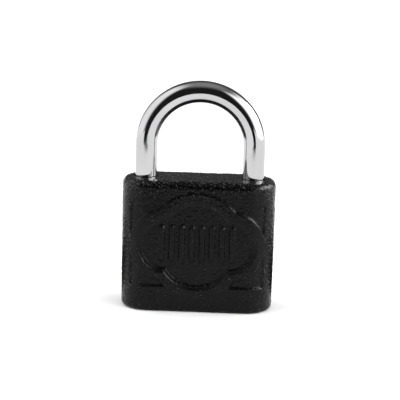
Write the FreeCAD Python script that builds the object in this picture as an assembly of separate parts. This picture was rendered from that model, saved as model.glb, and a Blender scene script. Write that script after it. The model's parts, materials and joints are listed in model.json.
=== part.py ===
import FreeCAD, Part

"""Cast padlock with a rotating-disc cylinder, one STEP file per physical piece.

Millimetres, +X to the toe leg, +Y to the back face, +Z up. The origin is the centre of the base, and
the cylinder's axis is the Z axis. At rest the shackle is down and the cylinder stands in its open
position, with both locking bolts drawn back. A quarter turn of the core locks it.
"""
import math
import os

V = FreeCAD.Vector
X_AXIS, Y_AXIS, Z_AXIS = V(1, 0, 0), V(0, 1, 0), V(0, 0, 1)

# Clearances between pieces, and how far a cutting solid runs past what it cuts
FIT = 0.05
END_GAP = 0.1
PAST = 1.0

# Casting
BODY_WIDTH = 63.0
BODY_DEPTH = 25.0
BODY_HEIGHT = 54.5
END_RADIUS = 11.5
TOP_ROUND = 3.0
BASE_ROUND = 1.8

# Ornament on the front and back faces. Heights are from the ornament's centre.
ORNAMENT_Z = 28.15
SIDE_LOBE_X, SIDE_LOBE_R = 13.1, 9.8
MAIN_LOBE_Z, MAIN_LOBE_R = 2.0, 14.9
LEDGE_WIDTH = 1.3
BAND_OUTSIDE = 5.0
BAND_RISE = 0.25
LEDGE_DEPTH = 0.45
FIELD_DEPTH = 0.95
PANEL_HALF_WIDTH, PANEL_HALF_HEIGHT = 27.4, 17.15
PANEL_DEPTH = 0.8
BAR_COUNT = 8
BAR_PITCH, BAR_WIDTH, BAR_HEIGHT = 4.1, 2.1, 14.8
BAR_CENTRE = 0.8
BAR_RISE, BAR_ROOT = 0.9, 0.5

# Shackle
SHACKLE_R = 4.5
LEG_X = 22.1
LEG_STRAIGHT = 13.2
LIFT = 16.0
TOE_DEPTH = 14.0
TOE_BORE_DEPTH = 16.0
BORE_R = 4.8
BORE_MOUTH = 0.5
NECK_R = 2.5
HEAD_LENGTH = 3.5
HEEL_END_ROOM = 1.1
TOE_CHAMFER, HEEL_CHAMFER = 1.2, 0.7

# Locking bolts and cam
BOLT_Z = 45.5
BOLT_R = 3.2
BOLT_BORE_R = 3.3
BOLT_TRAVEL = 2.1
BOLT_BITE = 1.8
BOLT_NOSE_ROUND, BOLT_TAIL_ROUND = 3.0, 1.3
NOTCH_ROOM = 0.2
CAM_R = 9.1
CAM_GAP = 0.35
CAM_BOTTOM, CAM_TOP = 42.0, 49.0
NOTCH_R = 3.75

# Cylinder
MAIN_BORE_R = 9.6
MAIN_BORE_TOP = 50.0
CASE_R, CASE_INNER_R = 9.55, 8.0
CASE_BOTTOM, CASE_TOP = 0.6, 40.0
LIP_R, LIP_TOP = 6.6, 2.0
CARRIER_R, CARRIER_INNER_R = 7.85, 6.6
CARRIER_BOTTOM, CARRIER_TOP = 4.6, 38.4
CARRIER_ROOF = 2.0
CASE_CHAMFER, GUARD_CHAMFER = 0.4, 0.3
CASE_GROOVE_R, CASE_GROOVE_AXIS = 1.15, 7.75
STUB_R, STUB_FLAT = 4.0, 2.9
STUB_TOP = 48.6
DISC_R = 6.5
DISC_THICKNESS = 2.1
SPACER_THICKNESS = 0.7
SPACER_HOLE_ROOM = 0.5
EAR_REACH, EAR_HALF_WIDTH = 0.5, 0.8
EAR_SLOT_REACH, EAR_SLOT_HALF_WIDTH = 0.65, 0.9
STACK_GAP = 0.02
KEYWAY_R, KEYWAY_FLAT = 3.9, 0.9
SIDEBAR_WIDTH, SIDEBAR_HEIGHT = 1.8, 2.1
SIDEBAR_INNER_R = 5.65
SIDEBAR_CHAMFER = 0.45
GATE_CLEARANCE = 0.1
FALSE_GATE_DEPTH = 0.45
FALSE_GATE_STEPS = (-2, 2)
CODE_STEP = 18
CODE = (2, 5, 1, 4, 0, 3, 5, 1, 4, 2)
SNAP_RING_BOTTOM, SNAP_RING_THICKNESS = 38.7, 1.0
SNAP_RING_R, SNAP_RING_INNER_R = 8.45, 6.6
SNAP_RING_HALF_OPENING = 2.2
WASHER_ROOM = 0.3

# Pins and plug
HEEL_PIN_R, HEEL_PIN_Z, HEEL_PIN_START, HEEL_PIN_RECESS = 1.25, 39.5, -7.5, 0.1
CASE_PIN_R, CASE_PIN_X, CASE_PIN_Z = 1.2, 10.1, 7.5
CASE_PIN_START, CASE_PIN_RECESS = -6.0, 0.2
PIN_FIT = 0.01
PIN_GAP = 0.15
PLUG_LENGTH = 3.6
PLUG_RECESS, PLUG_CHAMFER = 0.25, 0.3


def cylinder(radius, start, length, axis):
    """A cylinder from the point start, running length along axis."""
    return Part.makeCylinder(radius, length, start, axis)


def upright(radius, bottom, top, x=0.0):
    """A vertical cylinder between two heights."""
    return cylinder(radius, V(x, 0, bottom), top - bottom, Z_AXIS)


def block(x, y, z):
    """A box from three (low, high) pairs."""
    return Part.makeBox(x[1] - x[0], y[1] - y[0], z[1] - z[0], V(x[0], y[0], z[0]))


def arc(a, middle, b):
    return Part.Arc(a, middle, b).toShape()


def circle_crossing(ax, az, ar, bx, bz, br):
    """The crossing of two circles in the XZ plane that lies furthest from both axes."""
    dx, dz = bx - ax, bz - az
    gap = math.hypot(dx, dz)
    along = (ar**2 - br**2 + gap**2) / (2 * gap)
    across = math.sqrt(ar**2 - along**2)
    middle_x, middle_z = ax + along * dx / gap, az + along * dz / gap
    found = []
    for side in (-1, 1):
        found.append((middle_x - side * across * dz / gap, middle_z + side * across * dx / gap))
    return max(found, key=lambda p: p[0] + p[1])


# ---------------------------------------------------------------- casting

def plan_prism(inset, bottom, top):
    """The casting's plan, taken in by inset on every side, as an upright prism."""
    half_x, half_y = BODY_WIDTH / 2 - inset, BODY_DEPTH / 2 - inset
    radius = END_RADIUS - inset
    slab_x = block((-half_x, half_x), (radius - half_y, half_y - radius), (bottom, top))
    slab_y = block((radius - half_x, half_x - radius), (-half_y, half_y), (bottom, top))
    solid = slab_x.fuse(slab_y)
    for x in (radius - half_x, half_x - radius):
        for y in (radius - half_y, half_y - radius):
            solid = solid.fuse(cylinder(radius, V(x, y, bottom), top - bottom, Z_AXIS))
    return solid.removeSplitter()


def edges_at_height(solid, height):
    """The edges that lie wholly in one horizontal plane."""
    found = []
    for edge in solid.Edges:
        box = edge.BoundBox
        if abs(box.ZMin - height) < 1e-6 and abs(box.ZMax - height) < 1e-6:
            found.append(edge)
    return found


def quatrefoil(grow):
    """The four-lobed outline, grown by grow, as a prism through the whole depth."""
    side_r, main_r = SIDE_LOBE_R + grow, MAIN_LOBE_R + grow
    cusp_x, cusp_z = circle_crossing(SIDE_LOBE_X, 0, side_r, 0, MAIN_LOBE_Z, main_r)
    deep = BODY_DEPTH

    def point(x, z):
        return V(x, -deep, ORNAMENT_Z + z)

    tip_x, tip_z = SIDE_LOBE_X + side_r, MAIN_LOBE_Z + main_r
    edges = [
        arc(point(cusp_x, cusp_z), point(0, tip_z), point(-cusp_x, cusp_z)),
        arc(point(-cusp_x, cusp_z), point(-tip_x, 0), point(-cusp_x, -cusp_z)),
        arc(point(-cusp_x, -cusp_z), point(0, -tip_z), point(cusp_x, -cusp_z)),
        arc(point(cusp_x, -cusp_z), point(tip_x, 0), point(cusp_x, cusp_z)),
    ]
    face = Part.Face(Part.Wire(edges))
    return face.extrude(V(0, 2 * deep, 0))


def skin(region, depth):
    """The part of region that lies outside the casting's plan taken in by depth."""
    return region.cut(plan_prism(depth, -PAST, BODY_HEIGHT + PAST))


def bars(side):
    """The row of round-ended upright bars on the front (side -1) or back (side 1) field."""
    floor = BODY_DEPTH / 2 - FIELD_DEPTH
    low, high = floor - BAR_ROOT, floor + BAR_RISE
    reach = BAR_HEIGHT / 2 - BAR_WIDTH / 2
    centre_z = ORNAMENT_Z + BAR_CENTRE
    depths = (low, high) if side > 0 else (-high, -low)
    made = []
    for index in range(BAR_COUNT):
        x = (index - (BAR_COUNT - 1) / 2) * BAR_PITCH
        heights = (centre_z - reach, centre_z + reach)
        bar = block((x - BAR_WIDTH / 2, x + BAR_WIDTH / 2), depths, heights)
        for z in heights:
            end = cylinder(BAR_WIDTH / 2, V(x, depths[0], z), high - low, Y_AXIS)
            bar = bar.fuse(end)
        made.append(bar.removeSplitter())
    return made


def casting_outside():
    """The casting before it is machined: rounded block, raised band, sunk field and panels."""
    solid = plan_prism(0, 0, BODY_HEIGHT)
    solid = solid.makeFillet(TOP_ROUND, edges_at_height(solid, BODY_HEIGHT))
    solid = solid.makeFillet(BASE_ROUND, edges_at_height(solid, 0))

    grown = plan_prism(-BAND_RISE, PAST, BODY_HEIGHT - PAST)
    outer = quatrefoil(BAND_OUTSIDE)
    solid = solid.fuse(grown.common(outer))

    low, high = ORNAMENT_Z - PANEL_HALF_HEIGHT, ORNAMENT_Z + PANEL_HALF_HEIGHT
    width, depth = (-PANEL_HALF_WIDTH, PANEL_HALF_WIDTH), (-BODY_DEPTH, BODY_DEPTH)
    panels = block(width, depth, (low, high)).cut(outer)
    solid = solid.cut(skin(panels, PANEL_DEPTH))
    solid = solid.cut(skin(quatrefoil(LEDGE_WIDTH), LEDGE_DEPTH))
    solid = solid.cut(skin(quatrefoil(0), FIELD_DEPTH))
    for side in (-1, 1):
        for bar in bars(side):
            solid = solid.fuse(bar)
    return solid


def lock_body():
    """The casting with its bores: cylinder, shackle legs, locking bolts and cross pins."""
    solid = casting_outside()
    top = BODY_HEIGHT
    cuts = [
        upright(MAIN_BORE_R, -PAST, MAIN_BORE_TOP),
        upright(BORE_R, top - TOE_BORE_DEPTH, top + PAST, LEG_X),
        upright(BORE_R, heel_end() - HEEL_END_ROOM, top + PAST, -LEG_X),
        cylinder(BOLT_BORE_R, V(-LEG_X, 0, BOLT_Z), LEG_X + BODY_WIDTH / 2 + PAST, X_AXIS),
        heel_pin(PIN_FIT),
        case_pin(PIN_FIT),
    ]
    for x in (-LEG_X, LEG_X):
        mouth = V(x, 0, top - BORE_MOUTH)
        cuts.append(Part.makeCone(BORE_R, BORE_R + 2 * BORE_MOUTH, 2 * BORE_MOUTH, mouth, Z_AXIS))
    for cut in cuts:
        solid = solid.cut(cut)
    return solid


# ---------------------------------------------------------------- pins and plug

def heel_pin_x():
    """The pin's axis, beside the heel leg's neck and towards the middle of the lock."""
    return -LEG_X + NECK_R + PIN_GAP + HEEL_PIN_R


def cross_pin(radius, x, z, start, recess, grow):
    """A pin driven in from the back, or its hole when grow is more than 0."""
    past = 2 * PAST if grow else 0
    reach = BODY_DEPTH / 2 - recess - start + grow + past
    return cylinder(radius + grow, V(x, start - grow, z), reach, Y_AXIS)


def heel_pin(grow=0.0):
    """The cross pin that keeps the heel leg in the casting."""
    x = heel_pin_x()
    return cross_pin(HEEL_PIN_R, x, HEEL_PIN_Z, HEEL_PIN_START, HEEL_PIN_RECESS, grow)


def case_pin(grow=0.0):
    """The cross pin that locks the cylinder case in its bore."""
    return cross_pin(CASE_PIN_R, CASE_PIN_X, CASE_PIN_Z, CASE_PIN_START, CASE_PIN_RECESS, grow)


def rim_at_x(solid, x):
    """The edges that lie wholly in the plane at x."""
    flat = [e for e in solid.Edges if e.BoundBox.XLength < 1e-6]
    return [e for e in flat if abs(e.BoundBox.XMin - x) < 1e-6]


def side_plug():
    """The pressed plug that closes the drilling of the bolt bore."""
    start = BODY_WIDTH / 2 - PLUG_RECESS - PLUG_LENGTH
    plug = cylinder(BOLT_BORE_R - PIN_FIT, V(start, 0, BOLT_Z), PLUG_LENGTH, X_AXIS)
    return plug.makeChamfer(PLUG_CHAMFER, rim_at_x(plug, start))


# ---------------------------------------------------------------- shackle

def heel_end():
    """Height of the heel leg's lower end with the shackle down."""
    return HEEL_PIN_Z - HEEL_PIN_R - LIFT - PIN_GAP - HEAD_LENGTH


def shackle():
    """The bent bar, with its locking notches, the heel's neck and head, and a bevelled toe."""
    arch_z = BODY_HEIGHT + LEG_STRAIGHT
    toe_end = BODY_HEIGHT - TOE_DEPTH
    heel = Part.makeLine(V(-LEG_X, 0, heel_end()), V(-LEG_X, 0, arch_z))
    crown = arc(V(-LEG_X, 0, arch_z), V(0, 0, arch_z + LEG_X), V(LEG_X, 0, arch_z))
    toe = Part.makeLine(V(LEG_X, 0, arch_z), V(LEG_X, 0, toe_end))
    path = Part.Wire([heel, crown, toe])
    section = Part.Wire(Part.makeCircle(SHACKLE_R, V(-LEG_X, 0, heel_end()), Z_AXIS))
    solid = path.makePipeShell([section], True, False)

    solid = solid.makeChamfer(TOE_CHAMFER, edges_at_height(solid, toe_end))
    solid = solid.makeChamfer(HEEL_CHAMFER, edges_at_height(solid, heel_end()))

    neck_top = HEEL_PIN_Z + HEEL_PIN_R + PIN_GAP
    neck_bottom = heel_end() + HEAD_LENGTH
    ring = upright(SHACKLE_R + PAST, neck_bottom, neck_top, -LEG_X)
    solid = solid.cut(ring.cut(upright(NECK_R, neck_bottom, neck_top, -LEG_X)))

    depth = BOLT_BITE + NOTCH_ROOM
    notch_x = LEG_X - SHACKLE_R + depth - NOTCH_R
    for side in (-1, 1):
        start = V(side * notch_x, -SHACKLE_R - PAST, BOLT_Z)
        solid = solid.cut(cylinder(NOTCH_R, start, 2 * (SHACKLE_R + PAST), Y_AXIS))
    return solid


# ---------------------------------------------------------------- bolts and cam

def locking_bolt(side):
    """One round-nosed locking bolt, drawn back. side is -1 for the heel leg, 1 for the toe."""
    nose = LEG_X - SHACKLE_R + BOLT_BITE - BOLT_TRAVEL
    tail = CAM_R - BOLT_TRAVEL + CAM_GAP
    bolt = cylinder(BOLT_R, V(tail, 0, BOLT_Z), nose - tail, X_AXIS)
    bolt = bolt.makeFillet(BOLT_NOSE_ROUND, rim_at_x(bolt, nose))
    bolt = bolt.makeFillet(BOLT_TAIL_ROUND, rim_at_x(bolt, tail))
    if side < 0:
        bolt.rotate(V(0, 0, 0), Z_AXIS, 180)
    return bolt


def cam_radius(turn):
    """Cam radius at turn degrees from a lobe's tip. It falls evenly, by the bolts' travel in 90."""
    return CAM_R - BOLT_TRAVEL * turn / 90


def locking_cam():
    """The two-lobed cam that throws both bolts. Its lobes lie front and back at rest."""
    steps = (0, 22.5, 45, 67.5, 90)
    edges = []
    for quarter in range(4):
        lobe_first = quarter % 2 == 1
        points = []
        for step in steps:
            radius = cam_radius(step if lobe_first else 90 - step)
            angle = math.radians(quarter * 90 + step)
            points.append(V(radius * math.cos(angle), radius * math.sin(angle), CAM_BOTTOM))
        curve = Part.BSplineCurve()
        curve.interpolate(points)
        edges.append(curve.toShape())
    cam = Part.Face(Part.Wire(edges)).extrude(V(0, 0, CAM_TOP - CAM_BOTTOM))
    return cam.cut(stub_prism(CAM_BOTTOM - PAST, CAM_TOP + PAST, FIT))


def stub_prism(bottom, top, grow):
    """The carrier's drive stub: a round post with two flats."""
    post = upright(STUB_R + grow, bottom, top)
    half = STUB_FLAT + grow
    post_side = STUB_R + PAST
    return post.common(block((-post_side, post_side), (-half, half), (bottom, top)))


# ---------------------------------------------------------------- cylinder

def sidebar_box(inner_r, outer_r, extra, bottom, top):
    """A bar-shaped box at the sidebar's place, behind the core's axis at rest."""
    half = SIDEBAR_WIDTH / 2 + extra
    return block((-half, half), (inner_r, outer_r), (bottom, top))


def stack_heights():
    """(bottom, top) of each tumbler disc and each spacer, from the guard disc upwards."""
    discs, spacers = [], []
    z = CARRIER_BOTTOM + STACK_GAP
    for _ in CODE:
        discs.append((z, z + DISC_THICKNESS))
        z += DISC_THICKNESS + STACK_GAP
        spacers.append((z, z + SPACER_THICKNESS))
        z += SPACER_THICKNESS + STACK_GAP
    return discs, spacers, z


def keyway(bottom, top, turn):
    """The key's half-round hole, turned about the core's axis by turn degrees."""
    hole = upright(KEYWAY_R, bottom, top)
    beyond = KEYWAY_R + PAST
    hole = hole.common(block((-beyond, beyond), (-KEYWAY_FLAT, beyond), (bottom, top)))
    hole.rotate(V(0, 0, 0), Z_AXIS, turn)
    return hole


def gate(inner_r, extra, bottom, top):
    """The sidebar's slot through a disc or the carrier's wall, from inner_r outwards."""
    return sidebar_box(inner_r, CARRIER_R + PAST, extra, bottom - PAST, top + PAST)


def cylinder_case():
    """The brass case: a tube with a front lip, a sidebar groove and grooves for ring and pin."""
    case = upright(CASE_R, CASE_BOTTOM, CASE_TOP)
    case = case.makeChamfer(CASE_CHAMFER, edges_at_height(case, CASE_BOTTOM))
    case = case.cut(upright(CASE_INNER_R, LIP_TOP, CASE_TOP + PAST))
    case = case.cut(upright(LIP_R, CASE_BOTTOM - PAST, LIP_TOP + PAST))
    ring_top = SNAP_RING_BOTTOM + SNAP_RING_THICKNESS + END_GAP
    case = case.cut(upright(SNAP_RING_R + END_GAP, SNAP_RING_BOTTOM, ring_top))
    case = case.cut(upright(CASE_GROOVE_R, LIP_TOP, CARRIER_TOP, -CASE_GROOVE_AXIS))
    return case.cut(case_pin(PIN_FIT))


def disc_carrier():
    """The rotating cage that holds the discs, slotted for the sidebar, with the drive stub."""
    roof = CARRIER_TOP - CARRIER_ROOF
    below = CARRIER_BOTTOM - PAST
    cage = upright(CARRIER_R, CARRIER_BOTTOM, CARRIER_TOP)
    cage = cage.cut(upright(CARRIER_INNER_R, below, roof))
    cage = cage.cut(gate(SIDEBAR_INNER_R, GATE_CLEARANCE, below, roof - PAST))
    half = EAR_SLOT_HALF_WIDTH
    for x in (-CARRIER_INNER_R, CARRIER_INNER_R):
        slot = block((x - EAR_SLOT_REACH, x + EAR_SLOT_REACH), (-half, half), (below, roof))
        cage = cage.cut(slot)
    return cage.fuse(stub_prism(CARRIER_TOP - CARRIER_ROOF / 2, STUB_TOP, 0))


def guard_disc():
    """The hardened front disc with the keyway, seen in the base of the lock."""
    face = CASE_BOTTOM + END_GAP
    flange = upright(CARRIER_R - FIT, LIP_TOP + FIT, CARRIER_BOTTOM - FIT)
    nose = upright(LIP_R - END_GAP, face, LIP_TOP + PAST)
    nose = nose.makeChamfer(GUARD_CHAMFER, edges_at_height(nose, face))
    return flange.fuse(nose).cut(keyway(face - PAST, CARRIER_BOTTOM + PAST, 0))


def disc_blank(bottom, top, turn):
    """A disc with its keyway at turn degrees and its true gate under the sidebar."""
    disc = upright(DISC_R, bottom, top).cut(keyway(bottom - PAST, top + PAST, turn))
    return disc.cut(gate(SIDEBAR_INNER_R - END_GAP, GATE_CLEARANCE, bottom, top))


def tumbler_disc(code, bottom, top):
    """One coded disc, with a shallow false gate on each side of the true one."""
    disc = disc_blank(bottom, top, -CODE_STEP * code)
    for steps in FALSE_GATE_STEPS:
        false_gate = gate(DISC_R - FALSE_GATE_DEPTH, 0, bottom, top)
        false_gate.rotate(V(0, 0, 0), Z_AXIS, steps * CODE_STEP)
        disc = disc.cut(false_gate)
    return disc


def spacer_disc(bottom, top):
    """A thin washer between two discs, held from turning by two ears in the carrier."""
    hole = upright(KEYWAY_R + SPACER_HOLE_ROOM, bottom - PAST, top + PAST)
    washer = upright(DISC_R, bottom, top).cut(hole)
    half = EAR_HALF_WIDTH
    for x in (-DISC_R, DISC_R):
        washer = washer.fuse(block((x - EAR_REACH, x + EAR_REACH), (-half, half), (bottom, top)))
    return washer.cut(gate(SIDEBAR_INNER_R - END_GAP, GATE_CLEARANCE, bottom, top))


def sidebar(bottom, top):
    """The steel bar that drops into the discs' gates and frees the core."""
    outer = SIDEBAR_INNER_R + SIDEBAR_HEIGHT
    bar = sidebar_box(SIDEBAR_INNER_R, outer, 0, bottom, top)
    ridge = []
    for edge in bar.Edges:
        box = edge.BoundBox
        if box.YLength < 1e-6 and abs(box.YMin - outer) < 1e-6 and box.ZLength > SIDEBAR_WIDTH:
            ridge.append(edge)
    return bar.makeChamfer(SIDEBAR_CHAMFER, ridge)


def snap_ring():
    """The open wire-cut ring that keeps the carrier in the case."""
    bottom, top = SNAP_RING_BOTTOM + FIT, SNAP_RING_BOTTOM + SNAP_RING_THICKNESS
    ring = upright(SNAP_RING_R, bottom, top)
    ring = ring.cut(upright(SNAP_RING_INNER_R, bottom - PAST, top + PAST))
    half = SNAP_RING_HALF_OPENING
    front = -SNAP_RING_R - PAST
    return ring.cut(block((-half, half), (front, 0), (bottom - PAST, top + PAST)))


def thrust_washer():
    """The washer that carries the cam on the end of the case."""
    bottom, top = CASE_TOP + END_GAP, CAM_BOTTOM - END_GAP
    washer = upright(MAIN_BORE_R - WASHER_ROOM, bottom, top)
    return washer.cut(upright(STUB_R + WASHER_ROOM, bottom - PAST, top + PAST))


def all_pieces():
    """Every piece of the lock, as node name to solid."""
    discs, spacers, stack_top = stack_heights()
    roof = CARRIER_TOP - CARRIER_ROOF
    pieces = {
        "lock_body": lock_body(),
        "shackle": shackle(),
        "heel_retaining_pin": heel_pin(),
        "cylinder_retaining_pin": case_pin(),
        "bolt_bore_plug": side_plug(),
        "locking_bolt_heel": locking_bolt(-1),
        "locking_bolt_toe": locking_bolt(1),
        "locking_cam": locking_cam(),
        "thrust_washer": thrust_washer(),
        "snap_ring": snap_ring(),
        "cylinder_case": cylinder_case(),
        "disc_carrier": disc_carrier(),
        "guard_disc": guard_disc(),
        "return_disc": disc_blank(stack_top, roof - STACK_GAP, 0),
        "sidebar": sidebar(CARRIER_BOTTOM + END_GAP, roof - END_GAP),
    }
    for number, (code, heights) in enumerate(zip(CODE, discs), 1):
        pieces[f"tumbler_disc_{number:02d}"] = tumbler_disc(code, *heights)
    for number, heights in enumerate(spacers, 1):
        pieces[f"spacer_disc_{number:02d}"] = spacer_disc(*heights)
    return pieces


def main():
    os.makedirs("parts", exist_ok=True)
    for name, shape in all_pieces().items():
        solids = shape.Solids
        if len(solids) != 1 or not shape.isValid():
            raise RuntimeError(f"{name}: {len(solids)} solids, valid {shape.isValid()}")
        solids[0].exportStep(f"parts/{name}.step")
        print(f"{name}: {solids[0].Volume / 1000:.2f} cm3")


main()
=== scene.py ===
# The looks of a cast padlock: enamelled casting, chrome shackle, brass and steel cylinder.
#
# The scene is in metres. Sizes of the casting and the shackle are kept in millimetres, as in the CAD
# model, and MM turns them into metres when a mesh is made.

import json
import math

import bmesh
import bpy
import numpy as np
from mathutils import Matrix, Vector, noise

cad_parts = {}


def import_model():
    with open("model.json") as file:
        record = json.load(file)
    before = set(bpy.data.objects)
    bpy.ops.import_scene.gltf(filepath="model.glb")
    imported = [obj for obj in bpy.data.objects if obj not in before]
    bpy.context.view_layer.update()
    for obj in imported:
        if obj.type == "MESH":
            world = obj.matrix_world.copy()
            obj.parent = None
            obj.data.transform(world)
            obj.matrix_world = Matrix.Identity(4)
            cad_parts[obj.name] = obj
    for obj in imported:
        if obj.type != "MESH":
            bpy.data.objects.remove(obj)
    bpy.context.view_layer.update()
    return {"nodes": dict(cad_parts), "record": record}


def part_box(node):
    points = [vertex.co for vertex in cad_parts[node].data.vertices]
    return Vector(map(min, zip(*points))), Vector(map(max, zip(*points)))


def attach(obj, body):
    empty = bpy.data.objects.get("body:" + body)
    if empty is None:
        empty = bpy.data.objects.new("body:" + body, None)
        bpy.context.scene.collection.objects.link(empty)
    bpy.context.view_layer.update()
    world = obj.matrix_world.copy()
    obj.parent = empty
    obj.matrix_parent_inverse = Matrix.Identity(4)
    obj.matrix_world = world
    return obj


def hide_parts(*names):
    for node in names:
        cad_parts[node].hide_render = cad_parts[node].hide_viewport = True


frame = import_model()
MM = 0.001

# Casting, in millimetres, measured from the CAD nodes where a node gives the size.
BODY_LOW, BODY_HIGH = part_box("lock_body")
BODY_HALF_WIDTH = (BODY_HIGH.x - BODY_LOW.x) / 2 / MM
BODY_HEIGHT = BODY_HIGH.z / MM
BAND_RISE = 0.25
BODY_HALF_DEPTH = (BODY_HIGH.y - BODY_LOW.y) / 2 / MM - BAND_RISE
END_RADIUS = 11.5
TOP_ROUND, BASE_ROUND = 3.0, 1.8
ROUND_STEPS = 8
END_STEPS = 24

# Ornament on the front and back faces.
ORNAMENT_Z = 28.15
SIDE_LOBE_X, SIDE_LOBE_R = 13.1, 9.8
MAIN_LOBE_Z, MAIN_LOBE_R = 2.0, 14.9
LEDGE_OUTSIDE, BAND_OUTSIDE = 1.3, 5.0
LEDGE_DEPTH, FIELD_DEPTH, PANEL_DEPTH = 0.45, 0.95, 0.8
PANEL_HALF_WIDTH, PANEL_HALF_HEIGHT = 27.4, 17.15
BAR_COUNT, BAR_PITCH, BAR_WIDTH = 8, 4.1, 2.1
BAR_HALF_HEIGHT, BAR_RISE, BAR_CENTRE_Z = 7.4, 0.9, 0.8
WALL_SOFTNESS = 0.3
BAR_SOFTNESS = WALL_SOFTNESS * 1.2

# The ornament fades in where the surface turns to face the front or the back. 1 is square to it.
FACE_START, FACE_FADE = 0.5, 0.3

# Grain of the casting: heights in millimetres, scales in waves per millimetre.
FINE_HEIGHT, FINE_LESS_ON_FACE, FINE_SCALE = 0.16, 0.09, 1.05
PIT_HEIGHT, PIT_SCALE, PIT_SHIFT = 0.03, 0.52, Vector((7, 3, 1))
SWELL_HEIGHT, SWELL_SCALE, SWELL_SHIFT = 0.09, 0.09, Vector((2, 9, 4))
GRAIN_START_Z, GRAIN_FADE = 0.7, 0.5

# The casting's mesh. A point within SKIN_REACH of the plain outside takes the ornament and grain.
VOXEL, QUICK_VOXEL = 0.3, 0.6
SKIN_REACH = 0.22
TINY = 1e-6

# Bores in the casting. A drill starts or ends OVERCUT outside the metal.
OVERCUT = 2
DRILL_SEGMENTS = 96
MAIN_BORE_R, MAIN_BORE_TOP = 9.6, 50.0
LEG_BORE_R, LEG_BORE_MOUTH = 4.8, 0.5
TOE_BORE_DEPTH = 16.0
HEEL_BORE_BOTTOM = 17.5
BOLT_BORE_R, BOLT_Z = 3.3, 45.5
HEEL_PIN_X, HEEL_PIN_Z, HEEL_PIN_R, HEEL_PIN_START_Y = -18.2, 39.5, 1.26, -7.5
CASE_PIN_X, CASE_PIN_Z, CASE_PIN_R, CASE_PIN_START_Y = 10.1, 7.5, 1.21, -6

# Shackle, with the heel leg on the left. Heights are those with the shackle down.
SHACKLE_LOW, SHACKLE_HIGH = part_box("shackle")
SHACKLE_R = (SHACKLE_HIGH.y - SHACKLE_LOW.y) / 2 / MM
LEG_X = SHACKLE_HIGH.x / MM - SHACKLE_R
ARCH_Z = SHACKLE_HIGH.z / MM - LEG_X - SHACKLE_R
HEEL_END, HEEL_CHAMFER = SHACKLE_LOW.z / MM, 0.7
TOE_END, TOE_CHAMFER = 40.5, 1.2
NECK_R, NECK_BOTTOM, NECK_TOP, NECK_FILLET = 2.5, 22.1, 40.9, 0.35
NOTCH_R, NOTCH_DEPTH = 3.75, 2.0
ROUND_SEGMENTS, ARCH_STATIONS = 96, 120
NECK_STEP, NOTCH_STEP, LEG_STEP = 2, 0.2, 0.9

# Bare metals: darker tone, lighter tone, lowest and highest roughness, scale of the tool lines.
EVEN, ALONG_X = (1, 1, 1), (1, 12, 12)
METALS = {
    "turned_brass": ((0.62, 0.44, 0.18), (0.80, 0.62, 0.32), 0.22, 0.38, EVEN),
    "stamped_brass": ((0.58, 0.40, 0.17), (0.74, 0.55, 0.27), 0.28, 0.45, EVEN),
    "zinc_plate": ((0.52, 0.53, 0.54), (0.68, 0.69, 0.70), 0.28, 0.42, EVEN),
    "ground_steel": ((0.42, 0.43, 0.45), (0.58, 0.59, 0.61), 0.2, 0.36, ALONG_X),
    "spring_steel": ((0.26, 0.26, 0.28), (0.40, 0.40, 0.42), 0.25, 0.4, EVEN),
}
METAL_OF_SLOT = {
    "cylinder_brass": "turned_brass",
    "disc_brass": "stamped_brass",
    "plated_steel": "zinc_plate",
    "hardened_steel": "ground_steel",
    "spring_steel": "spring_steel",
}

# Most of a noise texture's values lie between these two.
NOISE_LOW, NOISE_HIGH = 0.3, 0.7

# Where the enamel's painted glints grow, in metres: |y| from the face's edge, z from below the top.
# There the pale flecks are painted denser, standing in for glints of light on the ends and the top.
FACE_Y, ROUNDED_Y = 0.0112, 0.0096
GLINT_START_Z, FULL_GLINT_Z = 0.0455, 0.0535

# Studio. Angles are in degrees: azimuth from the front towards the right, elevation from level.
SUN_ENERGY, SUN_ANGLE = 2.2, 100
AMBIENT = 0.02
KEY_AZIMUTH, KEY_ELEVATION, KEY_DISTANCE = 91, 32, 1.0
KEY_WIDTH, KEY_HEIGHT, KEY_RADIANCE = 0.85, 0.36, 16.0
SOFT_WALLS = (  # left, right, bottom, top, blur, radiance
    (36, 120, -30, 50, 12, 2.8),
    (-130, -47, -30, 66, 14, 1.5),
    (128, 181, -30, 40, 14, 0.16),
    (-181, -128, -30, 40, 14, 0.16),
)
CEILING_EDGE, CEILING_RADIANCE = (38, 78), 0.36
WHITE = (1, 1, 1, 1)
FLOOR_HALF, FLOOR_COLOUR = 4.0, (0.93, 0.93, 0.93)
CARD_LIFT, CARD_COLOUR = 0.0004, (0.01, 0.01, 0.01)
CARDS = {  # y and span in x of the near edge, then of the far edge
    "dark_front": (-0.38, (-0.22, 0.12), -3.9, (-2.8, 1.5)),
    "dark_back": (0.014, (-0.13, 0.13), 0.1, (-0.16, 0.16)),
}

# Camera. It looks at the lock's axis at CAMERA_TARGET_Z, from CAMERA_DISTANCE away.
CAMERA_AZIMUTH, CAMERA_ELEVATION, CAMERA_ROLL = 1.806, 12.769, 1.589
CAMERA_DISTANCE, CAMERA_TARGET_Z = 0.48728, 0.0408675
CAMERA_LENS, CAMERA_SENSOR = 105.813, 36
CAMERA_SHIFT_X, CAMERA_SHIFT_Y = 0.00325, 0.0234
CAMERA_CLIP_START = 0.01


def new_object(name, data):
    """An object of the scene with the given mesh, light or camera."""
    made = bpy.data.objects.new(name, data)
    bpy.context.scene.collection.objects.link(made)
    return made


def finish_mesh(name, build):
    """Turns the bmesh into an object of the scene and frees it."""
    mesh = bpy.data.meshes.new(name)
    build.to_mesh(mesh)
    build.free()
    return new_object(name, mesh)


def closed_tube(build, rings):
    """Joins rings of points, in millimetres, into one skin and closes both ends."""
    made = []
    for points in rings:
        made.append([build.verts.new(point * MM) for point in points])
    for low, high in zip(made, made[1:]):
        for i in range(len(low)):
            j = (i + 1) % len(low)
            build.faces.new((low[i], low[j], high[j], high[i]))
    build.faces.new(reversed(made[0]))
    build.faces.new(made[-1])


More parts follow.
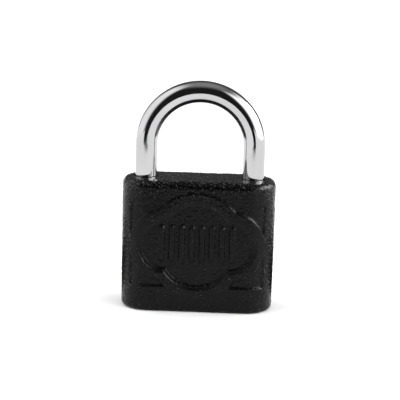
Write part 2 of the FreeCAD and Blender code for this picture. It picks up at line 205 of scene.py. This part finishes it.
# ---------------------------------------------------------------- casting

def plan_outline():
    """Points of the casting's plan, anticlockwise from above, as (corner centre, direction)."""
    outline = []
    centre_x, centre_y = BODY_HALF_WIDTH - END_RADIUS, BODY_HALF_DEPTH - END_RADIUS
    corners = ((1, 1, 0), (-1, 1, 90), (-1, -1, 180), (1, -1, 270))
    for sign_x, sign_y, first in corners:
        for step in range(END_STEPS + 1):
            angle = math.radians(first + 90 * step / END_STEPS)
            centre = (sign_x * centre_x, sign_y * centre_y)
            outline.append((centre, (math.cos(angle), math.sin(angle))))
    return outline


def side_profile():
    """(inset, height) pairs from the base's flat up over the top round."""
    profile = []
    for step in range(ROUND_STEPS + 1):
        angle = math.pi / 2 * step / ROUND_STEPS
        profile.append((BASE_ROUND * (1 - math.sin(angle)), BASE_ROUND * (1 - math.cos(angle))))
    for step in range(ROUND_STEPS + 1):
        angle = math.pi / 2 * step / ROUND_STEPS
        rise = TOP_ROUND * (1 - math.sin(angle))
        profile.append((TOP_ROUND * (1 - math.cos(angle)), BODY_HEIGHT - rise))
    return profile


def plain_block():
    """The casting's outside with its rounded edges and no ornament or bores."""
    rings = []
    for inset, height in side_profile():
        radius = END_RADIUS - inset
        ring = []
        for (cx, cy), (dx, dy) in plan_outline():
            ring.append(Vector((cx + dx * radius, cy + dy * radius, height)))
        rings.append(ring)
    build = bmesh.new()
    closed_tube(build, rings)
    return finish_mesh("casting", build)


def drill(name, radius, start, end, end_radius=None):
    """A closed cylinder or cone between two points, in millimetres, for cutting."""
    start, end = Vector(start), Vector(end)
    build = bmesh.new()
    bmesh.ops.create_cone(
        build,
        cap_ends=True,
        segments=DRILL_SEGMENTS,
        radius1=radius * MM,
        radius2=(end_radius or radius) * MM,
        depth=(end - start).length * MM,
    )
    turn = (end - start).to_track_quat("Z", "Y").to_matrix().to_4x4()
    place = Matrix.Translation((start + end) / 2 * MM) @ turn
    bmesh.ops.transform(build, matrix=place, verts=build.verts)
    return finish_mesh(name, build)


def pin_drill(name, radius, x, z, start_y):
    """The drill for a pin, which goes in from the back face."""
    return drill(name, radius, (x, start_y, z), (x, BODY_HALF_DEPTH + OVERCUT, z))


def mouth_drill(x):
    """The cone that opens the mouth of a leg's bore."""
    low, high = (x, 0, BODY_HEIGHT - LEG_BORE_MOUTH), (x, 0, BODY_HEIGHT + LEG_BORE_MOUTH)
    return drill("mouth", LEG_BORE_R, low, high, LEG_BORE_R + 2 * LEG_BORE_MOUTH)


def bore_drills():
    """All the cutters for the casting's bores."""
    above, beside = BODY_HEIGHT + OVERCUT, BODY_HALF_WIDTH + OVERCUT
    toe_bottom = BODY_HEIGHT - TOE_BORE_DEPTH
    return [
        drill("main", MAIN_BORE_R, (0, 0, -OVERCUT), (0, 0, MAIN_BORE_TOP)),
        drill("toe", LEG_BORE_R, (LEG_X, 0, toe_bottom), (LEG_X, 0, above)),
        drill("heel", LEG_BORE_R, (-LEG_X, 0, HEEL_BORE_BOTTOM), (-LEG_X, 0, above)),
        drill("bolt", BOLT_BORE_R, (-LEG_X, 0, BOLT_Z), (beside, 0, BOLT_Z)),
        pin_drill("heel_pin", HEEL_PIN_R, HEEL_PIN_X, HEEL_PIN_Z, HEEL_PIN_START_Y),
        pin_drill("case_pin", CASE_PIN_R, CASE_PIN_X, CASE_PIN_Z, CASE_PIN_START_Y),
        mouth_drill(-LEG_X),
        mouth_drill(LEG_X),
    ]


def apply_modifiers(piece):
    """Replaces the piece's mesh with its evaluated one and removes the modifiers."""
    graph = bpy.context.evaluated_depsgraph_get()
    mesh = bpy.data.meshes.new_from_object(piece.evaluated_get(graph))
    piece.modifiers.clear()
    piece.data = mesh


def bored_block():
    """The plain block with its bores, as an even mesh of small quads."""
    block = plain_block()
    drills = bore_drills()
    for cutter in drills:
        cut = block.modifiers.new("cut", "BOOLEAN")
        cut.operation = "DIFFERENCE"
        cut.solver = "EXACT"
        cut.object = cutter
    even = block.modifiers.new("even", "REMESH")
    even.mode = "VOXEL"
    even.voxel_size = VOXEL * MM
    even.use_smooth_shade = True
    apply_modifiers(block)
    for cutter in drills:
        bpy.data.objects.remove(cutter)
    return block


def smooth_step(distance, softness=WALL_SOFTNESS):
    """0 well below -softness, 1 well above it, with a smooth slope between."""
    t = np.clip((distance / softness + 1) / 2, 0, 1)
    return t * t * (3 - 2 * t)


def quatrefoil_distance(x, z):
    """Distance outside the field's four-lobed outline; negative inside."""
    side = np.hypot(np.abs(x) - SIDE_LOBE_X, z) - SIDE_LOBE_R
    main = np.hypot(x, np.abs(z) - MAIN_LOBE_Z) - MAIN_LOBE_R
    low = np.abs(z) < MAIN_LOBE_Z
    main = np.where(low, np.minimum(main, np.abs(x) - MAIN_LOBE_R), main)
    return np.minimum(side, main)


def bar_distance(x, z):
    """Distance outside the nearest upright bar of the ornament; negative inside."""
    slot = np.clip(np.round(x / BAR_PITCH - 0.5) + 0.5, -(BAR_COUNT - 1) / 2, (BAR_COUNT - 1) / 2)
    dx = x - slot * BAR_PITCH
    reach = BAR_HALF_HEIGHT - BAR_WIDTH / 2
    dz = np.maximum(np.abs(z - BAR_CENTRE_Z) - reach, 0)
    return np.hypot(dx, dz) - BAR_WIDTH / 2


def relief(x, z):
    """How far the face stands out (positive) or in at a point, in millimetres."""
    z = z - ORNAMENT_Z
    foil = quatrefoil_distance(x, z)
    frame_distance = np.maximum(np.abs(x) - PANEL_HALF_WIDTH, np.abs(z) - PANEL_HALF_HEIGHT)
    panel = 1 - smooth_step(frame_distance)
    beyond_band = smooth_step(foil - BAND_OUTSIDE)
    out = -PANEL_DEPTH * panel * beyond_band
    out = out + BAND_RISE * (1 - beyond_band)
    out = out - (LEDGE_DEPTH + BAND_RISE) * (1 - smooth_step(foil - LEDGE_OUTSIDE))
    out = out - (FIELD_DEPTH - LEDGE_DEPTH) * (1 - smooth_step(foil))
    return out + BAR_RISE * (1 - smooth_step(bar_distance(x, z), BAR_SOFTNESS))


def grain(points, facing):
    """Height of the casting's grain at each point, in millimetres, gentler on the two faces.

    It fades out towards the base, so that the casting stands flat.
    """
    made = np.empty(len(points))
    fine_height = FINE_HEIGHT - FINE_LESS_ON_FACE * facing
    for i, point in enumerate(points):
        place = Vector(point)
        fine = noise.noise(place * FINE_SCALE)
        pits = noise.noise(place * PIT_SCALE + PIT_SHIFT)
        swell = noise.noise(place * SWELL_SCALE + SWELL_SHIFT)
        made[i] = fine_height[i] * fine + PIT_HEIGHT * pits + SWELL_HEIGHT * swell
    return made * smooth_step(points[:, 2] - GRAIN_START_Z, GRAIN_FADE)


def on_skin(points):
    """Nearest point on the plain block's outside, the plan's normal and the full normal."""
    x, y, z = points.T
    core_x, core_y = BODY_HALF_WIDTH - END_RADIUS, BODY_HALF_DEPTH - END_RADIUS
    near_x = np.clip(x, -core_x, core_x)
    near_y = np.clip(y, -core_y, core_y)
    away_x, away_y = x - near_x, y - near_y
    length = np.maximum(np.hypot(away_x, away_y), TINY)
    plan_x, plan_y = away_x / length, away_y / length
    inset = length - END_RADIUS
    rounding = np.where(z > BODY_HEIGHT / 2, TOP_ROUND, BASE_ROUND)
    centre_z = np.clip(z, BASE_ROUND, BODY_HEIGHT - TOP_ROUND)
    over = np.maximum(inset + rounding, 0)
    rise = z - centre_z
    reach = np.maximum(np.hypot(over, rise), TINY)
    side = over / reach
    up = rise / reach
    new_length = np.where(over > 0, END_RADIUS - rounding + side * rounding, length)
    skin = np.column_stack((
        near_x + plan_x * new_length,
        near_y + plan_y * new_length,
        centre_z + up * rounding,
    ))
    normal = np.column_stack((plan_x * side, plan_y * side, up))
    plan = np.column_stack((plan_x, plan_y, np.zeros(len(x))))
    return skin, plan, normal


def shape_casting():
    """Moves the even mesh onto the exact outside, then gives it the ornament and the grain."""
    casting = bored_block()
    mesh = casting.data
    count = len(mesh.vertices)
    flat = np.empty(count * 3)
    mesh.vertices.foreach_get("co", flat)
    points = flat.reshape(-1, 3) / MM
    skin, plan, normal = on_skin(points)
    off = np.linalg.norm(points - skin, axis=1)
    outer = off < SKIN_REACH
    chosen = skin[outer]
    facing = np.abs(plan[outer][:, 1]) * (1 - np.abs(normal[outer][:, 2]))
    stand = relief(chosen[:, 0], chosen[:, 2]) * smooth_step(facing - FACE_START, FACE_FADE)
    chosen = chosen + plan[outer] * stand[:, None]
    chosen = chosen + normal[outer] * grain(chosen, facing)[:, None]
    points[outer] = chosen
    mesh.vertices.foreach_set("co", (points * MM).ravel())
    mesh.shade_smooth()
    mesh.update()
    casting.name = "enamelled_casting"
    return casting


# ---------------------------------------------------------------- shackle

def leg_heights(end, chamfer, necked):
    """Heights of the rings along one leg, close together where the leg changes size."""
    heights = [end, end + chamfer * 0.5, end + chamfer, end + chamfer * 1.6]
    if necked:
        for edge in (NECK_BOTTOM, NECK_TOP):
            heights += [edge + NECK_FILLET * step / 2 for step in range(-2, 3)]
        heights += list(np.arange(NECK_BOTTOM + 2, NECK_TOP - 1, NECK_STEP))
    heights += list(np.arange(BOLT_Z - NOTCH_R, BOLT_Z + NOTCH_R + 0.01, NOTCH_STEP))
    heights += list(np.arange(BOLT_Z + NOTCH_R + 1, ARCH_Z - 0.4, LEG_STEP))
    return sorted(heights)


def leg_radius(height, end, chamfer, necked):
    """The leg's radius at a height, before the bolt's notch is cut."""
    radius = SHACKLE_R - max(0, chamfer - (height - end))
    if not necked:
        return radius
    into = min(height - NECK_BOTTOM, NECK_TOP - height)
    share = float(smooth_step(np.float64(into), NECK_FILLET))
    return radius + (NECK_R - radius) * share


def notch_distance(height):
    """How far from the leg's axis the floor of the bolt's notch lies at a height."""
    rise = abs(height - BOLT_Z)
    if rise >= NOTCH_R:
        return math.inf
    centre = SHACKLE_R - NOTCH_DEPTH + NOTCH_R
    return centre - math.sqrt(NOTCH_R**2 - rise**2)


def ring_points(centre, inward, radius, notch):
    """One ring round the bar. inward points to the middle of the lock, across the bar."""
    points = []
    for step in range(ROUND_SEGMENTS):
        angle = math.tau * step / ROUND_SEGMENTS
        facing = math.cos(angle)
        reach = radius
        if facing > 0:
            reach = min(radius, notch / facing)
        points.append(centre + inward * (reach * facing) + Vector((0, reach * math.sin(angle), 0)))
    return points


def leg_rings(x, end, chamfer, necked):
    """The rings of one leg, from its end upwards."""
    inward = Vector((-math.copysign(1, x), 0, 0))
    rings = []
    for height in leg_heights(end, chamfer, necked):
        radius = leg_radius(height, end, chamfer, necked)
        centre = Vector((x, 0, height))
        rings.append(ring_points(centre, inward, radius, notch_distance(height)))
    return rings


def arch_rings():
    """The rings of the half-circle arch, from the heel leg over to the toe leg."""
    rings = []
    for step in range(ARCH_STATIONS + 1):
        angle = math.pi * (1 - step / ARCH_STATIONS)
        outward = Vector((math.cos(angle), 0, math.sin(angle)))
        centre = Vector((0, 0, ARCH_Z)) + outward * LEG_X
        rings.append(ring_points(centre, -outward, SHACKLE_R, math.inf))
    return rings


def chrome_shackle():
    """The bent bar as one smooth tube, with its neck, notches and bevelled ends."""
    heel = leg_rings(-LEG_X, HEEL_END, HEEL_CHAMFER, True)
    toe = leg_rings(LEG_X, TOE_END, TOE_CHAMFER, False)
    build = bmesh.new()
    closed_tube(build, heel + arch_rings() + toe[::-1])
    bmesh.ops.recalc_face_normals(build, faces=build.faces)
    bar = finish_mesh("chrome_bar", build)
    bar.data.shade_smooth()
    crisp = bar.modifiers.new("crisp", "WEIGHTED_NORMAL")
    crisp.keep_sharp = True
    return bar


# ---------------------------------------------------------------- materials

def principled(name):
    """A new material with its node tree and its Principled shader."""
    material = bpy.data.materials.new(name)
    material.use_nodes = True
    tree = material.node_tree
    return material, tree, tree.nodes["Principled BSDF"]


def object_coordinates(tree, scale):
    """Object coordinates times scale, as a socket."""
    coordinates = tree.nodes.new("ShaderNodeTexCoord")
    mapping = tree.nodes.new("ShaderNodeMapping")
    mapping.inputs["Scale"].default_value = scale
    tree.links.new(coordinates.outputs["Object"], mapping.inputs["Vector"])
    return mapping.outputs["Vector"]


def noise_texture(tree, vector, scale, detail, roughness=0.5):
    """A noise from 0 to 1, as a socket."""
    texture = tree.nodes.new("ShaderNodeTexNoise")
    texture.inputs["Scale"].default_value = scale
    texture.inputs["Detail"].default_value = detail
    texture.inputs["Roughness"].default_value = roughness
    tree.links.new(vector, texture.inputs["Vector"])
    return texture.outputs["Fac"]


def ramp(tree, factor, stops):
    """A colour ramp from factor. stops are (position, (r, g, b))."""
    node = tree.nodes.new("ShaderNodeValToRGB")
    elements = node.color_ramp.elements
    while len(elements) < len(stops):
        elements.new(0.5)
    for element, (position, colour) in zip(elements, stops):
        element.position = position
        element.color = (*colour, 1)
    tree.links.new(factor, node.inputs["Fac"])
    return node.outputs["Color"]


def math_node(tree, operation, first, second=None):
    """One Math node. Each operand is a socket or a number."""
    node = tree.nodes.new("ShaderNodeMath")
    node.operation = operation
    for socket, value in zip(node.inputs, (first, second)):
        if isinstance(value, (int, float)):
            socket.default_value = value
        elif value is not None:
            tree.links.new(value, socket)
    return node.outputs["Value"]


def map_range(tree, value, low, high, from_low=NOISE_LOW, from_high=NOISE_HIGH):
    """value mapped from the range from_low to from_high onto low to high, and held at its ends."""
    node = tree.nodes.new("ShaderNodeMapRange")
    node.inputs["From Min"].default_value = from_low
    node.inputs["From Max"].default_value = from_high
    node.inputs["To Min"].default_value = low
    node.inputs["To Max"].default_value = high
    tree.links.new(value, node.inputs["Value"])
    return node.outputs["Result"]


def bump(tree, shader, height, strength, distance):
    """Bumps the shader's normal by a height socket. distance is in metres."""
    node = tree.nodes.new("ShaderNodeBump")
    node.inputs["Strength"].default_value = strength
    node.inputs["Distance"].default_value = distance
    tree.links.new(height, node.inputs["Height"])
    tree.links.new(node.outputs["Normal"], shader.inputs["Normal"])


def painted_glint_share(tree, place):
    """How much painted glint the enamel's pale flecks carry: weak on the faces, more on the ends and
    the top.
    """
    split = tree.nodes.new("ShaderNodeSeparateXYZ")
    tree.links.new(place, split.inputs["Vector"])
    depth = math_node(tree, "ABSOLUTE", split.outputs["Y"])
    off_face = map_range(tree, depth, 0.02, 0.08, FACE_Y, ROUNDED_Y)
    upper = map_range(tree, split.outputs["Z"], 0.0, 0.08, GLINT_START_Z, FULL_GLINT_Z)
    return math_node(tree, "ADD", off_face, upper)


def black_enamel():
    """Black enamel over a rough casting: pale flecks, painted denser as glints on the ends and top,
    uneven gloss, fine grain.
    """
    material, tree, shader = principled("black_enamel")
    place = object_coordinates(tree, EVEN)
    drawn_out = object_coordinates(tree, (1, 0.75, 1))
    # Painted glints: the pale flecks crowd onto the ends and the top, which are also made glossier.
    painted_glint_and_gloss = painted_glint_share(tree, place)
    specks = noise_texture(tree, drawn_out, scale=1500, detail=2)
    speckle = math_node(tree, "ADD", specks, painted_glint_and_gloss)
    dark, middle, fleck_and_glint = (0.0007, 0.0007, 0.0008), (0.002, 0.002, 0.0021), (0.08, 0.08, 0.082)
    # Painted glints: where the share is high, more of the surface takes the pale fleck colour.
    colour = ramp(tree, speckle, ((0.3, dark), (0.66, middle), (0.88, fleck_and_glint)))
    tree.links.new(colour, shader.inputs["Base Color"])
    patches = noise_texture(tree, place, scale=260, detail=3)
    uneven = map_range(tree, patches, low=0.26, high=0.36)
    glossier = math_node(tree, "MULTIPLY", painted_glint_and_gloss, -1.1)
    tree.links.new(math_node(tree, "ADD", uneven, glossier), shader.inputs["Roughness"])
    shader.inputs["Specular IOR Level"].default_value = 0.14
    fine = noise_texture(tree, place, scale=1000, detail=2, roughness=0.55)
    bump(tree, shader, fine, strength=1.0, distance=0.0002)
    return material


def chrome():
    """Polished chrome with faint polishing marks and finger haze."""
    material, tree, shader = principled("chrome_plate")
    place = object_coordinates(tree, EVEN)
    haze = noise_texture(tree, place, scale=90, detail=4)
    hazy, clear = (0.45, 0.447, 0.452), (0.5, 0.497, 0.505)
    tint = ramp(tree, haze, ((NOISE_LOW, hazy), (NOISE_HIGH, clear)))
    tree.links.new(tint, shader.inputs["Base Color"])
    shader.inputs["Metallic"].default_value = 1.0
    smears = noise_texture(tree, place, scale=160, detail=5)
    rough = map_range(tree, smears, low=0.035, high=0.085, from_low=0.35)
    tree.links.new(rough, shader.inputs["Roughness"])
    marks = noise_texture(tree, place, scale=900, detail=3)
    bump(tree, shader, marks, strength=0.04, distance=0.00005)
    return material


def metal(name, dark, light, rough_low, rough_high, line_scale):
    """A bare metal: two tones, uneven gloss and fine tool lines."""
    material, tree, shader = principled(name)
    place = object_coordinates(tree, EVEN)
    tarnish = noise_texture(tree, place, scale=300, detail=4)
    tone = ramp(tree, tarnish, ((NOISE_LOW, dark), (NOISE_HIGH, light)))
    tree.links.new(tone, shader.inputs["Base Color"])
    shader.inputs["Metallic"].default_value = 1.0
    wear = noise_texture(tree, place, scale=700, detail=3)
    tree.links.new(map_range(tree, wear, rough_low, rough_high), shader.inputs["Roughness"])
    lines = noise_texture(tree, object_coordinates(tree, line_scale), scale=1500, detail=3)
    bump(tree, shader, lines, strength=0.2, distance=0.0001)
    return material


def paint_nodes(materials):
    """Gives each CAD node the material of its slot."""
    for entry in frame["record"]["subparts"]:
        node = frame["nodes"][entry["node"]]
        node.data.materials.clear()
        node.data.materials.append(materials[entry["material_slot"]])


# ---------------------------------------------------------------- studio

def studio_material(name, colour):
    """A dull plain material for things of the studio."""
    material, _, shader = principled(name)
    shader.inputs["Base Color"].default_value = (*colour, 1)
    shader.inputs["Roughness"].default_value = 0.9
    shader.inputs["Specular IOR Level"].default_value = 0.0
    return material


def panel(name, corners, material):
    """A flat four-cornered panel of the studio."""
    mesh = bpy.data.meshes.new(name)
    mesh.from_pydata(corners, [], [(0, 1, 2, 3)])
    mesh.materials.append(material)
    made = new_object(name, mesh)
    return made


def floor():
    """The plain pale floor."""
    half = FLOOR_HALF
    corners = ((-half, -half, 0), (half, -half, 0), (half, half, 0), (-half, half, 0))
    panel("floor", corners, studio_material("pale_floor", FLOOR_COLOUR))


def lying_card(name, near, near_span, far, far_span):
    """A black card lying on the floor across the view, which only reflections see."""
    corners = (
        (near_span[0], near, CARD_LIFT),
        (near_span[1], near, CARD_LIFT),
        (far_span[1], far, CARD_LIFT),
        (far_span[0], far, CARD_LIFT),
    )
    card = panel(name, corners, studio_material(name, CARD_COLOUR))
    card.visible_camera = False
    card.visible_diffuse = False
    card.visible_shadow = False
    card.visible_transmission = False


def direction(azimuth, elevation):
    """The unit vector from the lock towards an azimuth and an elevation, in radians."""
    return Vector((
        math.sin(azimuth) * math.cos(elevation),
        -math.cos(azimuth) * math.cos(elevation),
        math.sin(elevation),
    ))


def key_light():
    """The compact bright panel on the right whose glints pick out the relief. It lights no floor."""
    away = direction(math.radians(KEY_AZIMUTH), math.radians(KEY_ELEVATION))
    data = bpy.data.lights.new("key_light", "AREA")
    data.shape = "RECTANGLE"
    data.size, data.size_y = KEY_WIDTH, KEY_HEIGHT
    data.energy = KEY_RADIANCE * math.pi * KEY_WIDTH * KEY_HEIGHT
    light = new_object("key_light", data)
    light.location = away * KEY_DISTANCE
    light.rotation_euler = away.to_track_quat("Z", "Y").to_euler()
    light.visible_diffuse = False


def overhead_sun():
    """The broad overhead light that whitens the floor. Reflections don't see it."""
    data = bpy.data.lights.new("overhead", "SUN")
    data.energy = SUN_ENERGY
    data.angle = math.radians(SUN_ANGLE)
    light = new_object("overhead", data)
    light.visible_glossy = False


def soft_edge(tree, value, dark, lit):
    """0 at the angle dark, 1 at the angle lit, in degrees, with a smooth rise between."""
    node = tree.nodes.new("ShaderNodeMapRange")
    node.interpolation_type = "SMOOTHSTEP"
    node.inputs["From Min"].default_value = math.radians(dark)
    node.inputs["From Max"].default_value = math.radians(lit)
    tree.links.new(value, node.inputs["Value"])
    return node.outputs["Result"]


def soft_wall(tree, azimuth, elevation, wall):
    """The radiance of one soft bright wall round the lock."""
    left, right, bottom, top, blur, radiance = wall
    shape = soft_edge(tree, azimuth, left - blur, left + blur)
    for angle, dark, lit in (
        (azimuth, right + blur, right - blur),
        (elevation, bottom - blur, bottom + blur),
        (elevation, top + blur, top - blur),
    ):
        shape = math_node(tree, "MULTIPLY", shape, soft_edge(tree, angle, dark, lit))
    return math_node(tree, "MULTIPLY", shape, radiance)


def room_radiance(tree):
    """The radiance of the dim room with its soft walls and ceiling, in each direction."""
    coordinates = tree.nodes.new("ShaderNodeTexCoord")
    split = tree.nodes.new("ShaderNodeSeparateXYZ")
    tree.links.new(coordinates.outputs["Generated"], split.inputs["Vector"])
    toward = math_node(tree, "MULTIPLY", split.outputs["Y"], -1.0)
    azimuth = math_node(tree, "ARCTAN2", split.outputs["X"], toward)
    elevation = math_node(tree, "ARCSINE", split.outputs["Z"])
    total = AMBIENT
    for wall in SOFT_WALLS:
        total = math_node(tree, "ADD", soft_wall(tree, azimuth, elevation, wall), total)
    ceiling = soft_edge(tree, elevation, *CEILING_EDGE)
    return math_node(tree, "ADD", math_node(tree, "MULTIPLY", ceiling, CEILING_RADIANCE), total)


def world():
    """The room for light and reflections, and a white backdrop for the camera alone."""
    sky = bpy.data.worlds.new("studio")
    bpy.context.scene.world = sky
    sky.use_nodes = True
    tree = sky.node_tree
    room = tree.nodes["Background"]
    room.inputs["Color"].default_value = WHITE
    tree.links.new(room_radiance(tree), room.inputs["Strength"])
    backdrop = tree.nodes.new("ShaderNodeBackground")
    backdrop.inputs["Color"].default_value = WHITE
    path = tree.nodes.new("ShaderNodeLightPath")
    choose = tree.nodes.new("ShaderNodeMixShader")
    tree.links.new(path.outputs["Is Camera Ray"], choose.inputs["Fac"])
    tree.links.new(room.outputs["Background"], choose.inputs[1])
    tree.links.new(backdrop.outputs["Background"], choose.inputs[2])
    tree.links.new(choose.outputs["Shader"], tree.nodes["World Output"].inputs["Surface"])


def camera_axes(back, azimuth, roll):
    """The camera's rotation: its right, up and back axes, rolled about the last."""
    level_right = Vector((math.cos(azimuth), math.sin(azimuth), 0))
    level_up = back.cross(level_right)
    right = level_right * math.cos(roll) + level_up * math.sin(roll)
    up = -level_right * math.sin(roll) + level_up * math.cos(roll)
    return Matrix((right, up, back)).transposed().to_4x4()


def camera():
    """The photo's view: a little above the lock and a little to its right, with a slight roll."""
    azimuth = math.radians(CAMERA_AZIMUTH)
    back = direction(azimuth, math.radians(CAMERA_ELEVATION))
    place = Vector((0, 0, CAMERA_TARGET_Z)) + back * CAMERA_DISTANCE
    data = bpy.data.cameras.new("photo_view")
    data.sensor_width = CAMERA_SENSOR
    data.lens = CAMERA_LENS
    data.shift_x = CAMERA_SHIFT_X
    data.shift_y = CAMERA_SHIFT_Y
    data.clip_start = CAMERA_CLIP_START
    view = new_object("photo_view", data)
    axes = camera_axes(back, azimuth, math.radians(CAMERA_ROLL))
    view.matrix_world = Matrix.Translation(place) @ axes
    bpy.context.scene.camera = view


def studio():
    """Everything round the lock: room, floor, cards, lights and camera."""
    world()
    floor()
    for name, edges in CARDS.items():
        lying_card(name, *edges)
    key_light()
    overhead_sun()
    camera()
    bpy.context.scene.view_settings.view_transform = "Standard"


# ---------------------------------------------------------------- assembly

def make_materials():
    """The material of each slot."""
    enamel, plate = black_enamel(), chrome()
    metals = {name: metal(name, *look) for name, look in METALS.items()}
    materials = {slot: metals[name] for slot, name in METAL_OF_SLOT.items()}
    materials["black_casting"] = enamel
    materials["blackened_plug"] = enamel
    materials["chrome_bar"] = plate
    return materials


def assemble():
    """Paints the CAD nodes, then puts the finer casting and shackle in the place of theirs."""
    materials = make_materials()
    paint_nodes(materials)
    casting = shape_casting()
    casting.data.materials.append(materials["black_casting"])
    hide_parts("lock_body")
    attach(casting, "casing")
    bar = chrome_shackle()
    bar.data.materials.append(materials["chrome_bar"])
    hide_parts("shackle")
    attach(bar, "shackle_bar")


assemble()
studio()
